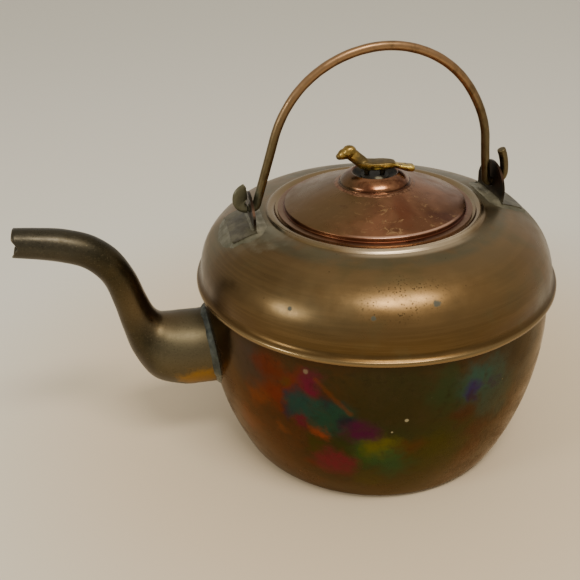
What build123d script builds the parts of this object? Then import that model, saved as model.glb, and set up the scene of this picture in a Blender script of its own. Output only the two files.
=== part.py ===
from build123d import *
import os
from math import cos, radians, sin, tan

# A hand-made copper kettle, in millimetres.
# The origin is the centre of its flat underside. +Z is up and the spout points to -X.
# The bail swings about an axis along X through the two lugs.

# ---- driving dimensions -------------------------------------------------
sheet_wall = 1.2            # copper sheet of the bowl, the shoulder and the lid

# Bowl: flat base, small corner, then one long curve up the side and a lip turned out at the seam.
base_radius = 91.6
base_corner = 7.0
base_corner_turn = 66.0
side_curve = 220.0
side_turn = 30.4
lip_curve = 3.5
lip_turn = 76.4

# Shoulder: a hem rolled over the bowl's lip, a cove, the dome and the rolled neck ring.
hem_start = (118.2, 121.2)
hem_curve = 2.0
hem_turn = 150.0
cove_curve = 5.0
cove_turn = 57.0
dome_side_curve = 37.2
dome_side_turn = 64.8
dome_top_curve = 69.0
dome_top_turn = 18.7
crease_curve = 1.0
crease_turn = 51.5
neck_ring_curve = 3.5
neck_ring_turn = 106.0
ledge_crease_curve = 1.9
ledge_crease_turn = 51.0
ledge_width = 4.1
throat_curve = 1.6
throat_depth = 6.0

# Lid: flange, upright step and a low cone that ends flat under the knob.
lid_gap = 0.1               # lid flange above the ledge
flange_radius = 63.2
flange_width = 3.9
flange_crease = 0.6
step_height = 1.5
rim_curve = 0.9
rim_turn = 67.0
cone_curve = 353.0
cone_turn = 6.0
crown_curve = 14.0
crown_turn = 15.0
skirt_radius = 57.3
skirt_wall = 1.0
skirt_depth = 12.0

# Knob under the bird: a foot bead, a groove, a steep side, a domed shoulder, a rim and a dished middle.
knob_foot = 23.8
knob_wall = 1.0
knob_bead_curve = 0.7
knob_bead_turn = 110.0
knob_groove_curve = 0.5
knob_groove_turn = 105.0
knob_side_curve = 3.0
knob_side_turn = 35.0
knob_shoulder_curve = 14.0
knob_shoulder_turn = 30.0
knob_rim_curve = 1.1
knob_rim_turn = 75.0
knob_dish_curve = 6.0
knob_dish_turn = 35.0
knob_solder_width = 1.8
knob_solder_height = 0.7

# Bird: brass casting on two short legs.
bird_yaw = -10.0            # degrees from the spout's direction
bird_height = 4.5           # middle of the body above the knob's rim
bird_leg_radius = 1.7
bird_leg_spread = 5.0
bird_leg_clearance = 1.3    # above the floor of the knob's dish
bird_pool_radius = 9.0
bird_pool_depth = 2.2
# Sections from tail to beak: (place along the bird, height, half width, half height).
bird_sections = [
    (-25.2, -3.5, 4.0, 1.5),
    (-20.0, -3.0, 4.4, 2.0),
    (-13.5, -1.1, 3.9, 2.2),
    (-8.0, 0.3, 5.1, 3.2),
    (0.0, 0.3, 5.5, 3.7),
    (7.5, 1.7, 4.6, 3.9),
    (12.0, 4.9, 3.8, 4.3),
    (17.0, 8.2, 4.1, 4.3),
    (21.5, 7.1, 3.2, 3.3),
    (24.4, 6.2, 1.6, 1.8),
]

# Spout: (distance from the kettle's axis, height, slope in degrees, radius) along its middle line.
spout_wall = 1.2
spout_sections = [
    (100.0, 76.4, 0.0, 26.6),
    (122.0, 76.3, 0.0, 25.9),
    (136.0, 77.2, 6.0, 25.6),
    (149.5, 82.0, 22.0, 22.8),
    (157.0, 92.4, 42.0, 16.6),
    (161.2, 104.8, 64.0, 12.2),
    (164.6, 119.6, 76.0, 10.5),
    (169.4, 137.2, 71.0, 10.2),
    (176.2, 149.2, 52.0, 10.5),
    (184.8, 156.9, 33.0, 10.5),
    (198.4, 162.6, 15.0, 10.4),
    (215.0, 166.4, 11.5, 10.1),
    (229.0, 168.9, 10.0, 9.8),
]
spout_mouth = (226.6, 168.2)  # the point of the notch in the fish-mouth cut
spout_mouth_angle = 118.0
spout_port_radius = 23.0
spout_solder_width = 8.0    # how far the solder cone stands out at its wide end, inside the bowl
spout_solder_length = 24.0
spout_solder_tip = 1.0      # the cone's narrow end runs this far under the spout's face

# Bail: round copper rod, with both ends hooked outside the lugs.
hinge_height = 174.0
rod_radius = 2.8
bail_curve = 71.0
bail_curve_height = 22.2    # centre of the big arc above the hinge
bail_shift = 3.3            # centre of the big arc towards the rear
front_leg_lean = 17.5
rear_leg_lean = 7.4
leg_bend = 3.4
hook_start = 84.0           # where the straight rod through the lug ends
hook_bend = 6.0
front_hook = (10.5, 62.0)   # radius and turn of the curled-over end
rear_hook = (35.0, 27.0)
# Inner edge of the front hook, hammered flat towards the lug: (distance out, height over the hinge).
blade_edge = [(85.3, 10.5), (83.7, 6.0), (83.4, 2.5)]
blade_wall = 3.4

# Lugs: copper tabs bent at a right angle, one over the spout and one opposite.
lug_inner = 81.0
lug_wall = 1.6
lug_half_width = 18.5
lug_base_half_width = 17.0
lug_waist_height = 174.0
front_lug_top = 184.0
rear_lug_top = 188.4
lug_root_depth = 12.0       # the tab starts this far down, inside the dome, and is trimmed to it
lug_hole_radius = 3.2
lug_foot_end = 97.0
lug_foot_half_width = 21.0
lug_foot_corner = 5.0
lug_solder_wall = 0.8
lug_solder_size = (40.0, 56.0)
lug_solder_centre = 87.0
lug_solder_inner = 2.0      # the patch stops this far outside the neck ring's crease

far = 400.0                 # longer than the whole kettle


# ---- helpers ------------------------------------------------------------
def follow(start, heading, steps, inset=0.0):
    """The edges of one face of a bent sheet, and where they end.

    Steps are ("line", length) or ("bend", radius, turn), a turn to the left being positive.
    inset moves the whole line to the left, which is the sheet's other face.
    """
    x = start[0] - inset * sin(radians(heading))
    z = start[1] + inset * cos(radians(heading))
    edges = []
    for step in steps:
        if step[0] == "line":
            end = (x + step[1] * cos(radians(heading)), z + step[1] * sin(radians(heading)))
            edges.append(Line((x, z), end))
        else:
            radius, turn = step[1], step[2]
            side = 1 if turn > 0 else -1
            face_radius = radius - side * inset
            low, high = radians(heading), radians(heading + turn)
            middle = (low + high) / 2
            half_way = (
                x + side * face_radius * (sin(middle) - sin(low)),
                z - side * face_radius * (cos(middle) - cos(low)),
            )
            end = (
                x + side * face_radius * (sin(high) - sin(low)),
                z - side * face_radius * (cos(high) - cos(low)),
            )
            edges.append(ThreePointArc((x, z), half_way, end))
            heading += turn
        x, z = end
    return edges, (x, z), heading


def spin(edges):
    """The solid of revolution about Z of a closed outline drawn as (radius, height)."""
    return revolve(Plane.XZ * make_face(edges), axis=Axis.Z)


def spun_sheet(start, heading, steps, wall):
    """A bent sheet spun about Z: its outer face follows the steps and its wall lies to the left."""
    outer, outer_end, _ = follow(start, heading, steps)
    inner, inner_end, _ = follow(start, heading, steps, wall)
    inner_start = inner[0] @ 0
    closing = []
    if (Vector(*outer_end) - Vector(*inner_end)).length > 1e-6:
        closing.append(Line(outer_end, inner_end))
    closing.append(Line((inner_start.X, inner_start.Y), start))
    return spin(outer + inner + closing)


def spun_outline(points):
    """A solid of revolution with straight sides through (radius, height) points."""
    return spin([Polyline(*points, close=True)])


def ring(inner, outer, low, high):
    return spun_outline([(inner, low), (outer, low), (outer, high), (inner, high)])


def beyond(reach):
    """All space farther along +X than the reach."""
    return Pos(reach + far / 2, 0, 0) * Box(far, far, 2 * far)


def to_axis(radius, heading):
    """The last bend of a face that ends square on the axis."""
    turn = 180.0 - heading
    return ("bend", radius / sin(radians(turn)), turn)


# ---- body ---------------------------------------------------------------
bowl_steps = [
    ("line", base_radius),
    ("bend", base_corner, base_corner_turn),
    ("bend", side_curve, side_turn),
    ("bend", lip_curve, -lip_turn),
]
shoulder_steps = [
    ("bend", hem_curve, hem_turn),
    ("bend", cove_curve, -cove_turn),
    ("bend", dome_side_curve, dome_side_turn),
    ("bend", dome_top_curve, dome_top_turn),
    ("bend", crease_curve, -crease_turn),
    ("bend", neck_ring_curve, neck_ring_turn),
    ("bend", ledge_crease_curve, -ledge_crease_turn),
    ("line", ledge_width),
    ("bend", throat_curve, 90.0),
    ("line", throat_depth),
]
_, ledge_outer, _ = follow(hem_start, 0.0, shoulder_steps[:7])
_, crease_point, _ = follow(hem_start, 0.0, shoulder_steps[:4])
_, lip_end, _ = follow((0.0, 0.0), 0.0, bowl_steps)
ledge_height = ledge_outer[1]


def bowl_filled():
    outer, end, _ = follow((0.0, 0.0), 0.0, bowl_steps)
    return spin(outer + [Line(end, (0, end[1])), Line((0, end[1]), (0, 0))])


def shoulder_filled():
    """Everything under the dome's outer face, from the seam to the neck ring."""
    outer, end, _ = follow(hem_start, 0.0, shoulder_steps[:4])
    top, bottom = (0, end[1]), (0, hem_start[1])
    return spin(outer + [Line(end, top), Line(top, bottom), Line(bottom, hem_start)])


def shoulder_skin(wall):
    """A layer of the given thickness lying on the dome's outer face."""
    steps = shoulder_steps[1:4]
    _, start, heading = follow(hem_start, 0.0, shoulder_steps[:1])
    lower, lower_end, _ = follow(start, heading, steps)
    upper, upper_end, _ = follow(start, heading, steps, -wall)
    upper_start = upper[0] @ 0
    ends = [Line(lower_end, upper_end), Line((upper_start.X, upper_start.Y), start)]
    return spin(lower + upper + ends)


def spout_bar(shrink):
    """The spout as a solid bar, its radii made smaller by the given amount."""
    faces = []
    for reach, height, slope, radius in spout_sections:
        forward = (-cos(radians(slope)), 0, sin(radians(slope)))
        section = Plane(origin=(-reach, 0, height), x_dir=(0, 1, 0), z_dir=forward)
        faces.append(section * Circle(radius - shrink))
    bar = loft(faces[:2])
    for low, high in zip(faces[1:], faces[2:]):
        bar += loft([low, high])
    return bar


def spout_port():
    first = spout_sections[0]
    return Pos(-first[0], 0, first[1]) * Rot(0, 90, 0) * Cylinder(spout_port_radius, 60)


lower_body = spun_sheet((0.0, 0.0), 0.0, bowl_steps, sheet_wall) - spout_port()
upper_body = spun_sheet(hem_start, 0.0, shoulder_steps, sheet_wall)

# Solder run inside the seam, a fillet between the bowl's lip and the shoulder.
seam_outline = [(-3.0, -2.4), (-4.4, 1.8), (-1.7, 5.8), (1.0, 2.5), (0.5, 1.3), (0.0, 0.55)]
seam_fill = spun_outline([(lip_end[0] + out, lip_end[1] + up) for out, up in seam_outline])
seam_solder = seam_fill - lower_body - upper_body

# ---- spout --------------------------------------------------------------
def mouth_wedge():
    """The wedge whose removal leaves the spout's fish-mouth."""
    half = radians(spout_mouth_angle / 2)
    tip = (-spout_mouth[0], spout_mouth[1])
    outline = Polyline(
        tip,
        (tip[0] - far * cos(half), tip[1] + far * sin(half)),
        (tip[0] - far * cos(half), tip[1] - far * sin(half)),
        close=True,
    )
    return extrude(Plane.XZ * make_face(outline), amount=far, both=True)


root_reach, root_height, _, root_radius = spout_sections[0]
neck_radius = spout_sections[1][3]
bowl = bowl_filled()
spout_outside = spout_bar(0.0)
spout = spout_outside - spout_bar(spout_wall) - bowl - mouth_wedge()

solder_middle = -root_reach - spout_solder_length / 2
solder_cone = Pos(solder_middle, 0, root_height) * Rot(0, -90, 0) * Cone(
    root_radius + spout_solder_width, neck_radius - spout_solder_tip, spout_solder_length
)
spout_solder = solder_cone - spout_outside - bowl

# ---- lugs ---------------------------------------------------------------
dome = shoulder_filled()


def lug_tab(top):
    """The upright tab, drawn in the YZ plane, thick along +X from the lug's inner face."""
    low = crease_point[1] - lug_root_depth
    waist = lug_waist_height
    outline = [
        Line((-lug_base_half_width, low), (lug_base_half_width, low)),
        Line((lug_base_half_width, low), (lug_half_width, waist)),
        ThreePointArc((lug_half_width, waist), (0, top), (-lug_half_width, waist)),
        Line((-lug_half_width, waist), (-lug_base_half_width, low)),
    ]
    tab = extrude(Plane.YZ.offset(lug_inner) * make_face(outline), amount=lug_wall)
    hole = Pos(lug_inner, 0, hinge_height) * Rot(0, 90, 0) * Cylinder(lug_hole_radius, 4 * lug_wall)
    return tab - hole


def lug_foot():
    """The foot, bent outwards and dressed down onto the dome."""
    length = lug_foot_end - lug_inner + 2 * lug_foot_corner
    outline = RectangleRounded(length, 2 * lug_foot_half_width, lug_foot_corner)
    prism = extrude(Pos(lug_foot_end - length / 2, 0, hem_start[1]) * outline, amount=far)
    return shoulder_skin(lug_wall) & prism & beyond(lug_inner)


def lug(top):
    return lug_tab(top) - dome + lug_foot()


def lug_solder(piece):
    """Solder run round the foot and up to the tab's inner face."""
    patch = Pos(lug_solder_centre, 0, hem_start[1]) * Ellipse(lug_solder_size[0] / 2, lug_solder_size[1] / 2)
    layer = shoulder_skin(lug_solder_wall) & extrude(patch, amount=far)
    return layer & beyond(crease_point[0] + lug_solder_inner) - piece


half_turn = Rot(0, 0, 180)
rear_lug = lug(rear_lug_top)
rear_lug_solder = lug_solder(rear_lug)
front_lug_at_rear = lug(front_lug_top)
front_lug = half_turn * front_lug_at_rear
front_lug_solder = half_turn * lug_solder(front_lug_at_rear)

# ---- bail ---------------------------------------------------------------
def bail_half(hook, leg_lean, shift):
    """Half of the bail on the +X side, from its hooked end to the crown, its hinge axis at z = 0.

    The big arc's centre is moved out by the shift, and the leg's line touches the arc.
    """
    hook_steps = [("bend", hook_bend, 90.0), ("bend", hook[0], hook[1])]
    hooked, _, _ = follow((hook_start, 0.0), 0.0, hook_steps)
    foot_turn = 90.0 - leg_lean
    leg_foot = shift + bail_curve / cos(radians(leg_lean)) + bail_curve_height * tan(radians(leg_lean))
    straight = hook_start - leg_foot - leg_bend * tan(radians(foot_turn / 2))
    foot_steps = [("line", straight), ("bend", leg_bend, -foot_turn)]
    foot, leg_start, _ = follow((hook_start, 0.0), 180.0, foot_steps)

    def on_arc(angle):
        out = shift + bail_curve * cos(radians(angle))
        return (out, bail_curve_height + bail_curve * sin(radians(angle)))

    leg = Line(leg_start, on_arc(leg_lean))
    arc = ThreePointArc(on_arc(leg_lean), on_arc(45.0 + leg_lean / 2), on_arc(90.0))
    line = Plane.XZ * Wire(hooked + foot + [leg, arc])
    section = Plane(origin=line @ 0, z_dir=line % 0) * Circle(rod_radius)
    return sweep(section, path=line, transition=Transition.RIGHT)


def hook_blade():
    """The flat web that fills the front hook's curl."""
    hook_steps = [("bend", hook_bend, 90.0), ("bend", front_hook[0], front_hook[1])]
    rod_line, hook_end, _ = follow((hook_start, 0.0), 0.0, hook_steps)
    edge = Spline(hook_end, *blade_edge, (hook_start, 0.0))
    return extrude(Plane.XZ * make_face(rod_line + [edge]), amount=blade_wall / 2, both=True)


front_half = bail_half(front_hook, front_leg_lean, -bail_shift) + hook_blade()
rear_half = bail_half(rear_hook, rear_leg_lean, bail_shift)
bail_handle = Pos(0, 0, hinge_height) * (rear_half + half_turn * front_half)

# ---- lid ----------------------------------------------------------------
flange_top = ledge_height + lid_gap + sheet_wall
lid_start = (flange_radius, flange_top)
edge_steps = [
    ("line", flange_width),
    ("bend", flange_crease, -90.0),
    ("line", step_height),
    ("bend", rim_curve, rim_turn),
    ("bend", cone_curve, cone_turn),
]
_, cone_end, _ = follow(lid_start, 180.0, edge_steps)
crown_steps = edge_steps + [("bend", crown_curve, crown_turn)]
_, crown_start, crown_heading = follow(lid_start, 180.0, crown_steps)
lid_steps = crown_steps + [to_axis(crown_start[0], crown_heading)]
lid = spun_sheet(lid_start, 180.0, lid_steps, sheet_wall)


def lid_filled(inset):
    """Everything under the lid's outer face moved in by the inset, down to the skirt's bottom."""
    outer, end, _ = follow(lid_start, 180.0, lid_steps, inset)
    start = outer[0] @ 0
    low = ledge_height - 2 * skirt_depth
    edge, corner, middle = (start.X, start.Y), (start.X, low), (0, low)
    return spin(outer + [Line(end, middle), Line(middle, corner), Line(corner, edge)])


skirt_low = ledge_height - skirt_depth
skirt_tube = ring(skirt_radius - skirt_wall, skirt_radius, skirt_low, ledge_height + skirt_depth)
lid_skirt = skirt_tube & lid_filled(sheet_wall)

# ---- knob and bird ------------------------------------------------------
knob_start = (knob_foot, cone_end[1])
knob_steps = [
    ("bend", knob_bead_curve, knob_bead_turn),
    ("bend", knob_groove_curve, -knob_groove_turn),
    ("bend", knob_side_curve, knob_side_turn),
    ("bend", knob_shoulder_curve, knob_shoulder_turn),
    ("bend", knob_rim_curve, knob_rim_turn),
    ("bend", knob_dish_curve, -knob_dish_turn),
]
knob_rim_line, knob_lip, knob_heading = follow(knob_start, 90.0, knob_steps)
knob_rim_height = max(edge.bounding_box().max.Y for edge in knob_rim_line)
dish_turn = knob_heading - 180.0
knob_steps.append(("bend", knob_lip[0] / sin(radians(dish_turn)), -dish_turn))
_, dish_floor, _ = follow(knob_start, 90.0, knob_steps)
dish_height = dish_floor[1]
lid_block = lid_filled(0.0)


def under_dish():
    """Everything below the knob's dished face."""
    dish, _, _ = follow(knob_lip, knob_heading, knob_steps[-1:])
    edge, corner, middle = knob_lip, (knob_lip[0], lid_start[1]), (0, lid_start[1])
    return spin(dish + [Line(dish_floor, middle), Line(middle, corner), Line(corner, edge)])


lid_boss = spun_sheet(knob_start, 90.0, knob_steps, knob_wall) - lid_block

boss_band_low = knob_start[1] - knob_solder_width
boss_band_high = knob_start[1] + knob_solder_height
boss_band = ring(knob_foot, knob_foot + knob_solder_width, boss_band_low, boss_band_high)
boss_solder = boss_band - lid_block - lid_boss


def bird():
    """The cast bird, facing -X, with its two legs."""
    middle = knob_rim_height + bird_height
    faces = []
    for place, height, half_width, half_height in bird_sections:
        section = Plane(origin=(-place, 0, middle + height), x_dir=(0, 1, 0), z_dir=(-1, 0, 0))
        faces.append(section * Ellipse(half_width, half_height))
    body = loft(faces)
    leg_low = dish_height + bird_leg_clearance
    leg = Cylinder(bird_leg_radius, middle - leg_low)
    for side in (-1, 1):
        body += Pos(side * bird_leg_spread, 0, (middle + leg_low) / 2) * leg
    return body


finial_bird = Rot(0, 0, bird_yaw) * bird() - lid_boss
bird_pool = Pos(0, 0, dish_height) * Cylinder(bird_pool_radius, 2 * bird_pool_depth)
bird_solder = bird_pool - finial_bird - lid_boss - lid_block - under_dish()

nodes = {
    "lower_body": lower_body,
    "upper_body": upper_body,
    "seam_solder": seam_solder,
    "spout": spout,
    "spout_solder": spout_solder,
    "front_lug": front_lug,
    "front_lug_solder": front_lug_solder,
    "rear_lug": rear_lug,
    "rear_lug_solder": rear_lug_solder,
    "bail_handle": bail_handle,
    "lid": lid,
    "lid_skirt": lid_skirt,
    "lid_boss": lid_boss,
    "boss_solder": boss_solder,
    "finial_bird": finial_bird,
    "bird_solder": bird_solder,
}
os.makedirs("parts", exist_ok=True)
for name, shape in nodes.items():
    export_step(Compound(children=list(shape.solids())), f"parts/{name}.step")
    box = shape.bounding_box()
    low, high = tuple(round(v, 1) for v in box.min), tuple(round(v, 1) for v in box.max)
    print(name, len(shape.solids()), "solids", round(shape.volume), "mm3", low, high)
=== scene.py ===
from math import ceil, cos, hypot, pi, radians, sin, sqrt, tan

import bmesh
import bpy
from mathutils import Matrix, Vector, noise


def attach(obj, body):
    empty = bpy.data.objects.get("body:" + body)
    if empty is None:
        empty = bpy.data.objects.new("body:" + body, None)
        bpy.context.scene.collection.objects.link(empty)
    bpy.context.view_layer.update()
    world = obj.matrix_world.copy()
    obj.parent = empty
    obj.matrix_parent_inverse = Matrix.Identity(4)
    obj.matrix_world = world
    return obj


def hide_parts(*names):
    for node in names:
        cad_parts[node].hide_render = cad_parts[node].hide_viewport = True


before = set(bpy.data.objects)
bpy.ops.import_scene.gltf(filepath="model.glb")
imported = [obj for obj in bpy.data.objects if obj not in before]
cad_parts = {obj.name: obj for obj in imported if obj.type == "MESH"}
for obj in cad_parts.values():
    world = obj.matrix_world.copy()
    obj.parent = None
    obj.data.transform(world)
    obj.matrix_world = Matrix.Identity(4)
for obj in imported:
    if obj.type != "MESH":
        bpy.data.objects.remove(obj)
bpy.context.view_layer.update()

# A hand-made copper kettle. All sizes below are in millimetres and degrees.
MM = 0.001
scene = bpy.context.scene

# ---- shapes shared with the CAD parts ----
sheet_wall = 1.2
bowl_steps = [
    ("line", 91.6),
    ("bend", 7.0, 66.0),
    ("bend", 220.0, 30.4),
    ("bend", 3.5, -76.4),
]
hem_start = (118.2, 121.2)
shoulder_steps = [
    ("bend", 2.0, 150.0),
    ("bend", 5.0, -57.0),
    ("bend", 37.2, 64.8),
    ("bend", 69.0, 18.7),
    ("bend", 1.0, -51.5),
    ("bend", 3.5, 106.0),
    ("bend", 1.9, -51.0),
    ("line", 4.1),
    ("bend", 1.6, 90.0),
    ("line", 6.0),
]
lid_start = (63.2, 167.7)
lid_steps = [
    ("line", 3.9),
    ("bend", 0.6, -90.0),
    ("line", 1.5),
    ("bend", 0.9, 67.0),
    ("bend", 353.0, 6.0),
    ("bend", 14.0, 15.0),
]
knob_start = (23.8, 183.26)
knob_wall = 1.0
knob_steps = [
    ("bend", 0.7, 110.0),
    ("bend", 0.5, -105.0),
    ("bend", 3.0, 35.0),
    ("bend", 14.0, 30.0),
    ("bend", 1.1, 75.0),
    ("bend", 6.0, -35.0),
]
spout_wall = 1.2
spout_port_radius = 23.0
spout_sections = [
    (122.0, 76.3, 0.0, 25.9),
    (136.0, 77.2, 6.0, 25.6),
    (149.5, 82.0, 22.0, 22.8),
    (157.0, 92.4, 42.0, 16.6),
    (161.2, 104.8, 64.0, 12.2),
    (164.6, 119.6, 76.0, 10.5),
    (169.4, 137.2, 71.0, 10.2),
    (176.2, 149.2, 52.0, 10.5),
    (184.8, 156.9, 33.0, 10.5),
    (198.4, 162.6, 15.0, 10.4),
    (215.0, 166.3, 11.0, 9.8),
    (227.5, 168.4, 9.5, 9.2),
]
spout_root = (76.4, 26.1)  # height and radius where it meets the bowl
spout_mouth = (223.4, 168.9)
spout_mouth_half_angle = 52.0
hinge_height = 174.0
rod_radius = 2.8
bail_curve = 71.0
bail_curve_height = 22.2
bail_shift = 3.3  # centre of the big arc towards the rear
front_leg_lean = 17.5
rear_leg_lean = 7.4
leg_bend = 3.4
hook_start = 84.0
hook_bend = 6.0
front_hook = (10.5, 62.0)
rear_hook = (35.0, 27.0)
lug_inner = 81.0
lug_wall = 1.6
bird_yaw = -10.0
bird_middle = 194.6  # height of the middle of its body


# ---- helpers for shapes ----
def follow(start, heading, steps, inset=0.0, fine=4.0):
    """Points along one face of a bent sheet, its end and its last heading."""
    x = start[0] - inset * sin(radians(heading))
    z = start[1] + inset * cos(radians(heading))
    points = [(x, z)]
    for step in steps:
        if step[0] == "line":
            count = max(1, ceil(step[1] / fine))
            for i in range(1, count + 1):
                along = step[1] * i / count
                points.append((x + along * cos(radians(heading)), z + along * sin(radians(heading))))
        else:
            radius, turn = step[1], step[2]
            side = 1 if turn > 0 else -1
            face = radius - side * inset
            low = radians(heading)
            count = max(3, ceil(abs(turn) / 9), ceil(abs(radians(turn)) * face / fine))
            for i in range(1, count + 1):
                at = radians(heading + turn * i / count)
                over, up = sin(at) - sin(low), cos(low) - cos(at)
                points.append((x + side * face * over, z + side * face * up))
            heading += turn
        x, z = points[-1]
    return points, heading


def to_axis(radius, heading):
    """The last bend of a face that ends square on the axis."""
    turn = 180.0 - heading
    return ("bend", radius / sin(radians(turn)), turn)


def skin(rings, loop=False):
    """Points and faces of a surface through rings of points. A ring of one point closes it."""
    points, starts = [], []
    for ring in rings:
        starts.append(len(points))
        points.extend(ring)
    pairs = list(zip(range(len(rings)), range(1, len(rings))))
    if loop:
        pairs.append((len(rings) - 1, 0))
    faces, owners = [], []
    for a, b in pairs:
        count = max(len(rings[a]), len(rings[b]))
        if count == 1:
            continue
        for j in range(count):
            k = (j + 1) % count
            if len(rings[a]) == 1:
                faces.append((starts[a], starts[b] + k, starts[b] + j))
            elif len(rings[b]) == 1:
                faces.append((starts[a] + j, starts[a] + k, starts[b]))
            else:
                faces.append((starts[a] + j, starts[a] + k, starts[b] + k, starts[b] + j))
            owners.append(a)
    return points, faces, owners


def placed(name, data):
    made = bpy.data.objects.new(name, data)
    scene.collection.objects.link(made)
    return made


def piece(name, points, faces, marks=None, sharp=40.0):
    """A smooth-shaded object from points in millimetres."""
    mesh = bpy.data.meshes.new(name)
    mesh.from_pydata([Vector(p) * MM for p in points], [], faces)
    if marks:
        mesh.polygons.foreach_set("material_index", marks)
    work = bmesh.new()
    work.from_mesh(mesh)
    bmesh.ops.recalc_face_normals(work, faces=work.faces)
    work.to_mesh(mesh)
    work.free()
    mesh.shade_smooth()
    mesh.set_sharp_from_angle(angle=radians(sharp))
    return placed(name, mesh)


def solder_run(name, rings, loop=True):
    points, faces, _ = skin(rings, loop)
    return piece(name, points, faces, sharp=180)


def baked(made, sharp=40.0):
    """The object with its modifiers applied."""
    graph = bpy.context.evaluated_depsgraph_get()
    mesh = bpy.data.meshes.new_from_object(made.evaluated_get(graph))
    made.modifiers.clear()
    made.data = mesh
    mesh.shade_smooth()
    mesh.set_sharp_from_angle(angle=radians(sharp))
    return made


def around(count, wanted=None):
    """The angles of evenly spaced places round a circle, or the first wanted ones of them."""
    return [2 * pi * j / count for j in range(count if wanted is None else wanted)]


def lathe(name, outer, inner, shift, turns=320, closed=False):
    """A sheet spun about Z from its outer and inner faces, given as (radius, height) points.

    The shift makes it uneven. Faces of the inner face get the second material."""
    rings = []
    for radius, height in outer + inner[::-1]:
        wanted = turns if radius > 0.01 else 1
        rings.append([
            shift(Vector((radius * cos(at), radius * sin(at), height))) for at in around(turns, wanted)
        ])
    points, faces, owners = skin(rings, loop=closed)
    marks = [1 if len(outer) <= owner < len(rings) - 1 else 0 for owner in owners]
    return piece(name, points, faces, marks)


def sheet(start, heading, steps, wall, fine=4.0, capped=False):
    """The outer and inner faces of a bent sheet. A capped one ends on the axis."""
    faces = [follow(start, heading, steps, inset, fine)[0] for inset in (0.0, wall)]
    if capped:
        for face in faces:
            face[-1] = (0.0, face[-1][1])
    return faces


def smooth(value):
    value = min(1.0, max(0.0, value))
    return value * value * (3 - 2 * value)


uneven_top = 148.0  # above this the shoulder gets true again
hem_top = 123.0


def uneven(point):
    """The body's sheet is a little out of true. All of its pieces share the same unevenness."""
    fade = smooth(point.z / 14) * (1 - smooth((point.z - uneven_top) / 12))
    if fade == 0:
        return point
    out = Vector((point.x, point.y, 0)).normalized()
    depth = 0.55 * noise.noise(point / 62) + 0.22 * noise.noise(point / 27)
    if point.z < hem_top:
        depth += 0.045 * noise.noise(point / 9)
    return point + out * depth * fade


# ---- bowl and shoulder ----
outer, inner = sheet((0, 0), 0, bowl_steps, sheet_wall)
bowl_face = outer
bowl = lathe("bowl", outer, inner, uneven)

port_turns = 64
port_reach = (-60.0, -135.0)  # the cutter's two ends
port_rings = [
    [Vector((reach, spout_port_radius * cos(at), spout_root[0] + spout_port_radius * sin(at)))
     for at in around(port_turns)]
    for reach in port_reach
]
ends = [[sum(ring, Vector()) / port_turns] for ring in port_rings]
points, faces, _ = skin([ends[0], port_rings[0], port_rings[1], ends[1]])
cutter = piece("port_cutter", points, faces)
cut = bowl.modifiers.new("port", "BOOLEAN")
cut.operation = "DIFFERENCE"
cut.object = cutter
bpy.context.view_layer.update()
baked(bowl)
bpy.data.objects.remove(cutter)

outer, inner = sheet(hem_start, 0, shoulder_steps, sheet_wall)
shoulder_face = outer
shoulder = lathe("shoulder", outer, inner, uneven, closed=True)


def bowl_radius(height):
    """The bowl's outer radius at a height."""
    for (r0, z0), (r1, z1) in zip(bowl_face, bowl_face[1:]):
        if z0 <= height <= z1 and z1 > z0:
            return r0 + (r1 - r0) * (height - z0) / (z1 - z0)
    return bowl_face[-1][0]


def dome_height(radius):
    """The height of the dome's outer face at a radius."""
    for (r0, z0), (r1, z1) in zip(shoulder_face, shoulder_face[1:]):
        if r1 < r0 and r1 <= radius <= r0 and z0 > 130:
            return z0 + (z1 - z0) * (r0 - radius) / (r0 - r1)
    return 130.0


# ---- spout ----
spout_turns = 96
spout_step = 1.6
root_overlap = 0.4  # how far the root goes into the bowl's sheet
mouth_start = 208.0  # how far out the spout starts to be drawn back to its mouth
mouth_slope = 10.0


def spout_rings(inset):
    """Rings along the spout. Each of its columns is a smooth curve through the sections."""
    knots, times = [], [0.0]
    for reach, height, slope, radius in spout_sections:
        half = radius - inset
        lean, rise = half * sin(radians(slope)), half * cos(radians(slope))
        knots.append([
            Vector((-reach + lean * cos(at), half * sin(at), height + rise * cos(at)))
            for at in around(spout_turns)
        ])
    for (x0, z0, _, _), (x1, z1, _, _) in zip(spout_sections, spout_sections[1:]):
        times.append(times[-1] + hypot(x1 - x0, z1 - z0))
    last = len(knots) - 1

    def speed(i, j):
        """How fast column j moves along at knot i."""
        a, b = max(0, i - 1), min(last, i + 1)
        if a == i or b == i:
            return (knots[b][j] - knots[a][j]) / (times[b] - times[a])
        before = (knots[i][j] - knots[a][j]) / (times[i] - times[a])
        after = (knots[b][j] - knots[i][j]) / (times[b] - times[i])
        return (before * (times[b] - times[i]) + after * (times[i] - times[a])) / (times[b] - times[a])

    rings = []
    for i in range(last):
        length = times[i + 1] - times[i]
        count = ceil(length / spout_step)
        for k in range(count + (i == last - 1)):
            t = k / count
            from_here, to_next = 2 * t**3 - 3 * t**2 + 1, 3 * t**2 - 2 * t**3
            leave, arrive = (t**3 - 2 * t**2 + t) * length, (t**3 - t**2) * length
            ring = [
                knots[i][j] * from_here + knots[i + 1][j] * to_next
                + speed(i, j) * leave + speed(i + 1, j) * arrive
                for j in range(spout_turns)
            ]
            middle = sum(ring, Vector()) / spout_turns
            rings.append([
                p + (p - middle).normalized() * (0.16 * noise.noise(p / 17) + 0.28 * noise.noise(p / 45))
                for p in ring
            ])
    return rings


def root_ring(radius, reach_in):
    """The spout's first ring, lying on the bowl."""
    ring = []
    for at in around(spout_turns):
        y, z = radius * sin(at), spout_root[0] + radius * cos(at)
        face = bowl_radius(z) - reach_in
        ring.append(uneven(Vector((-sqrt(face * face - y * y), y, z))))
    return ring


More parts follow.
